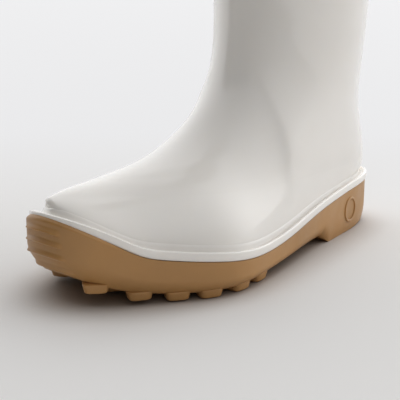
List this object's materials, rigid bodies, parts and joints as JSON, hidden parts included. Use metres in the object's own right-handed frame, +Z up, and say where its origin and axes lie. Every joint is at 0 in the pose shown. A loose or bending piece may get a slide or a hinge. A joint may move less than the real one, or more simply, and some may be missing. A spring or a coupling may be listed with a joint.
{
  "type": "rubber boot",
  "caption": "Left moulded rubber boot: glossy white hollow upper with a tall shaft, white edge band and a tan studded sole with a ribbed toe guard and a low heel.",
  "frame": {"origin": "on the floor, under the middle of the boot's bounding box", "axes": "+Z up, toe towards -Y, heel towards +Y, outer side of the left foot towards +X"},
  "size_m": [0.1278, 0.3016, 0.3701],
  "materials": {
    "upper_white": "glossy moulded skin",
    "band_white": "glossy moulded skin",
    "sole_tan": "satin moulded rubber",
    "insole_grey": "matt knitted face"
  },
  "bodies": {
    "root": {"upper": "upper_white", "sole_band": "band_white", "outsole": "sole_tan", "insole": "insole_grey"}
  },
  "joints": []
}
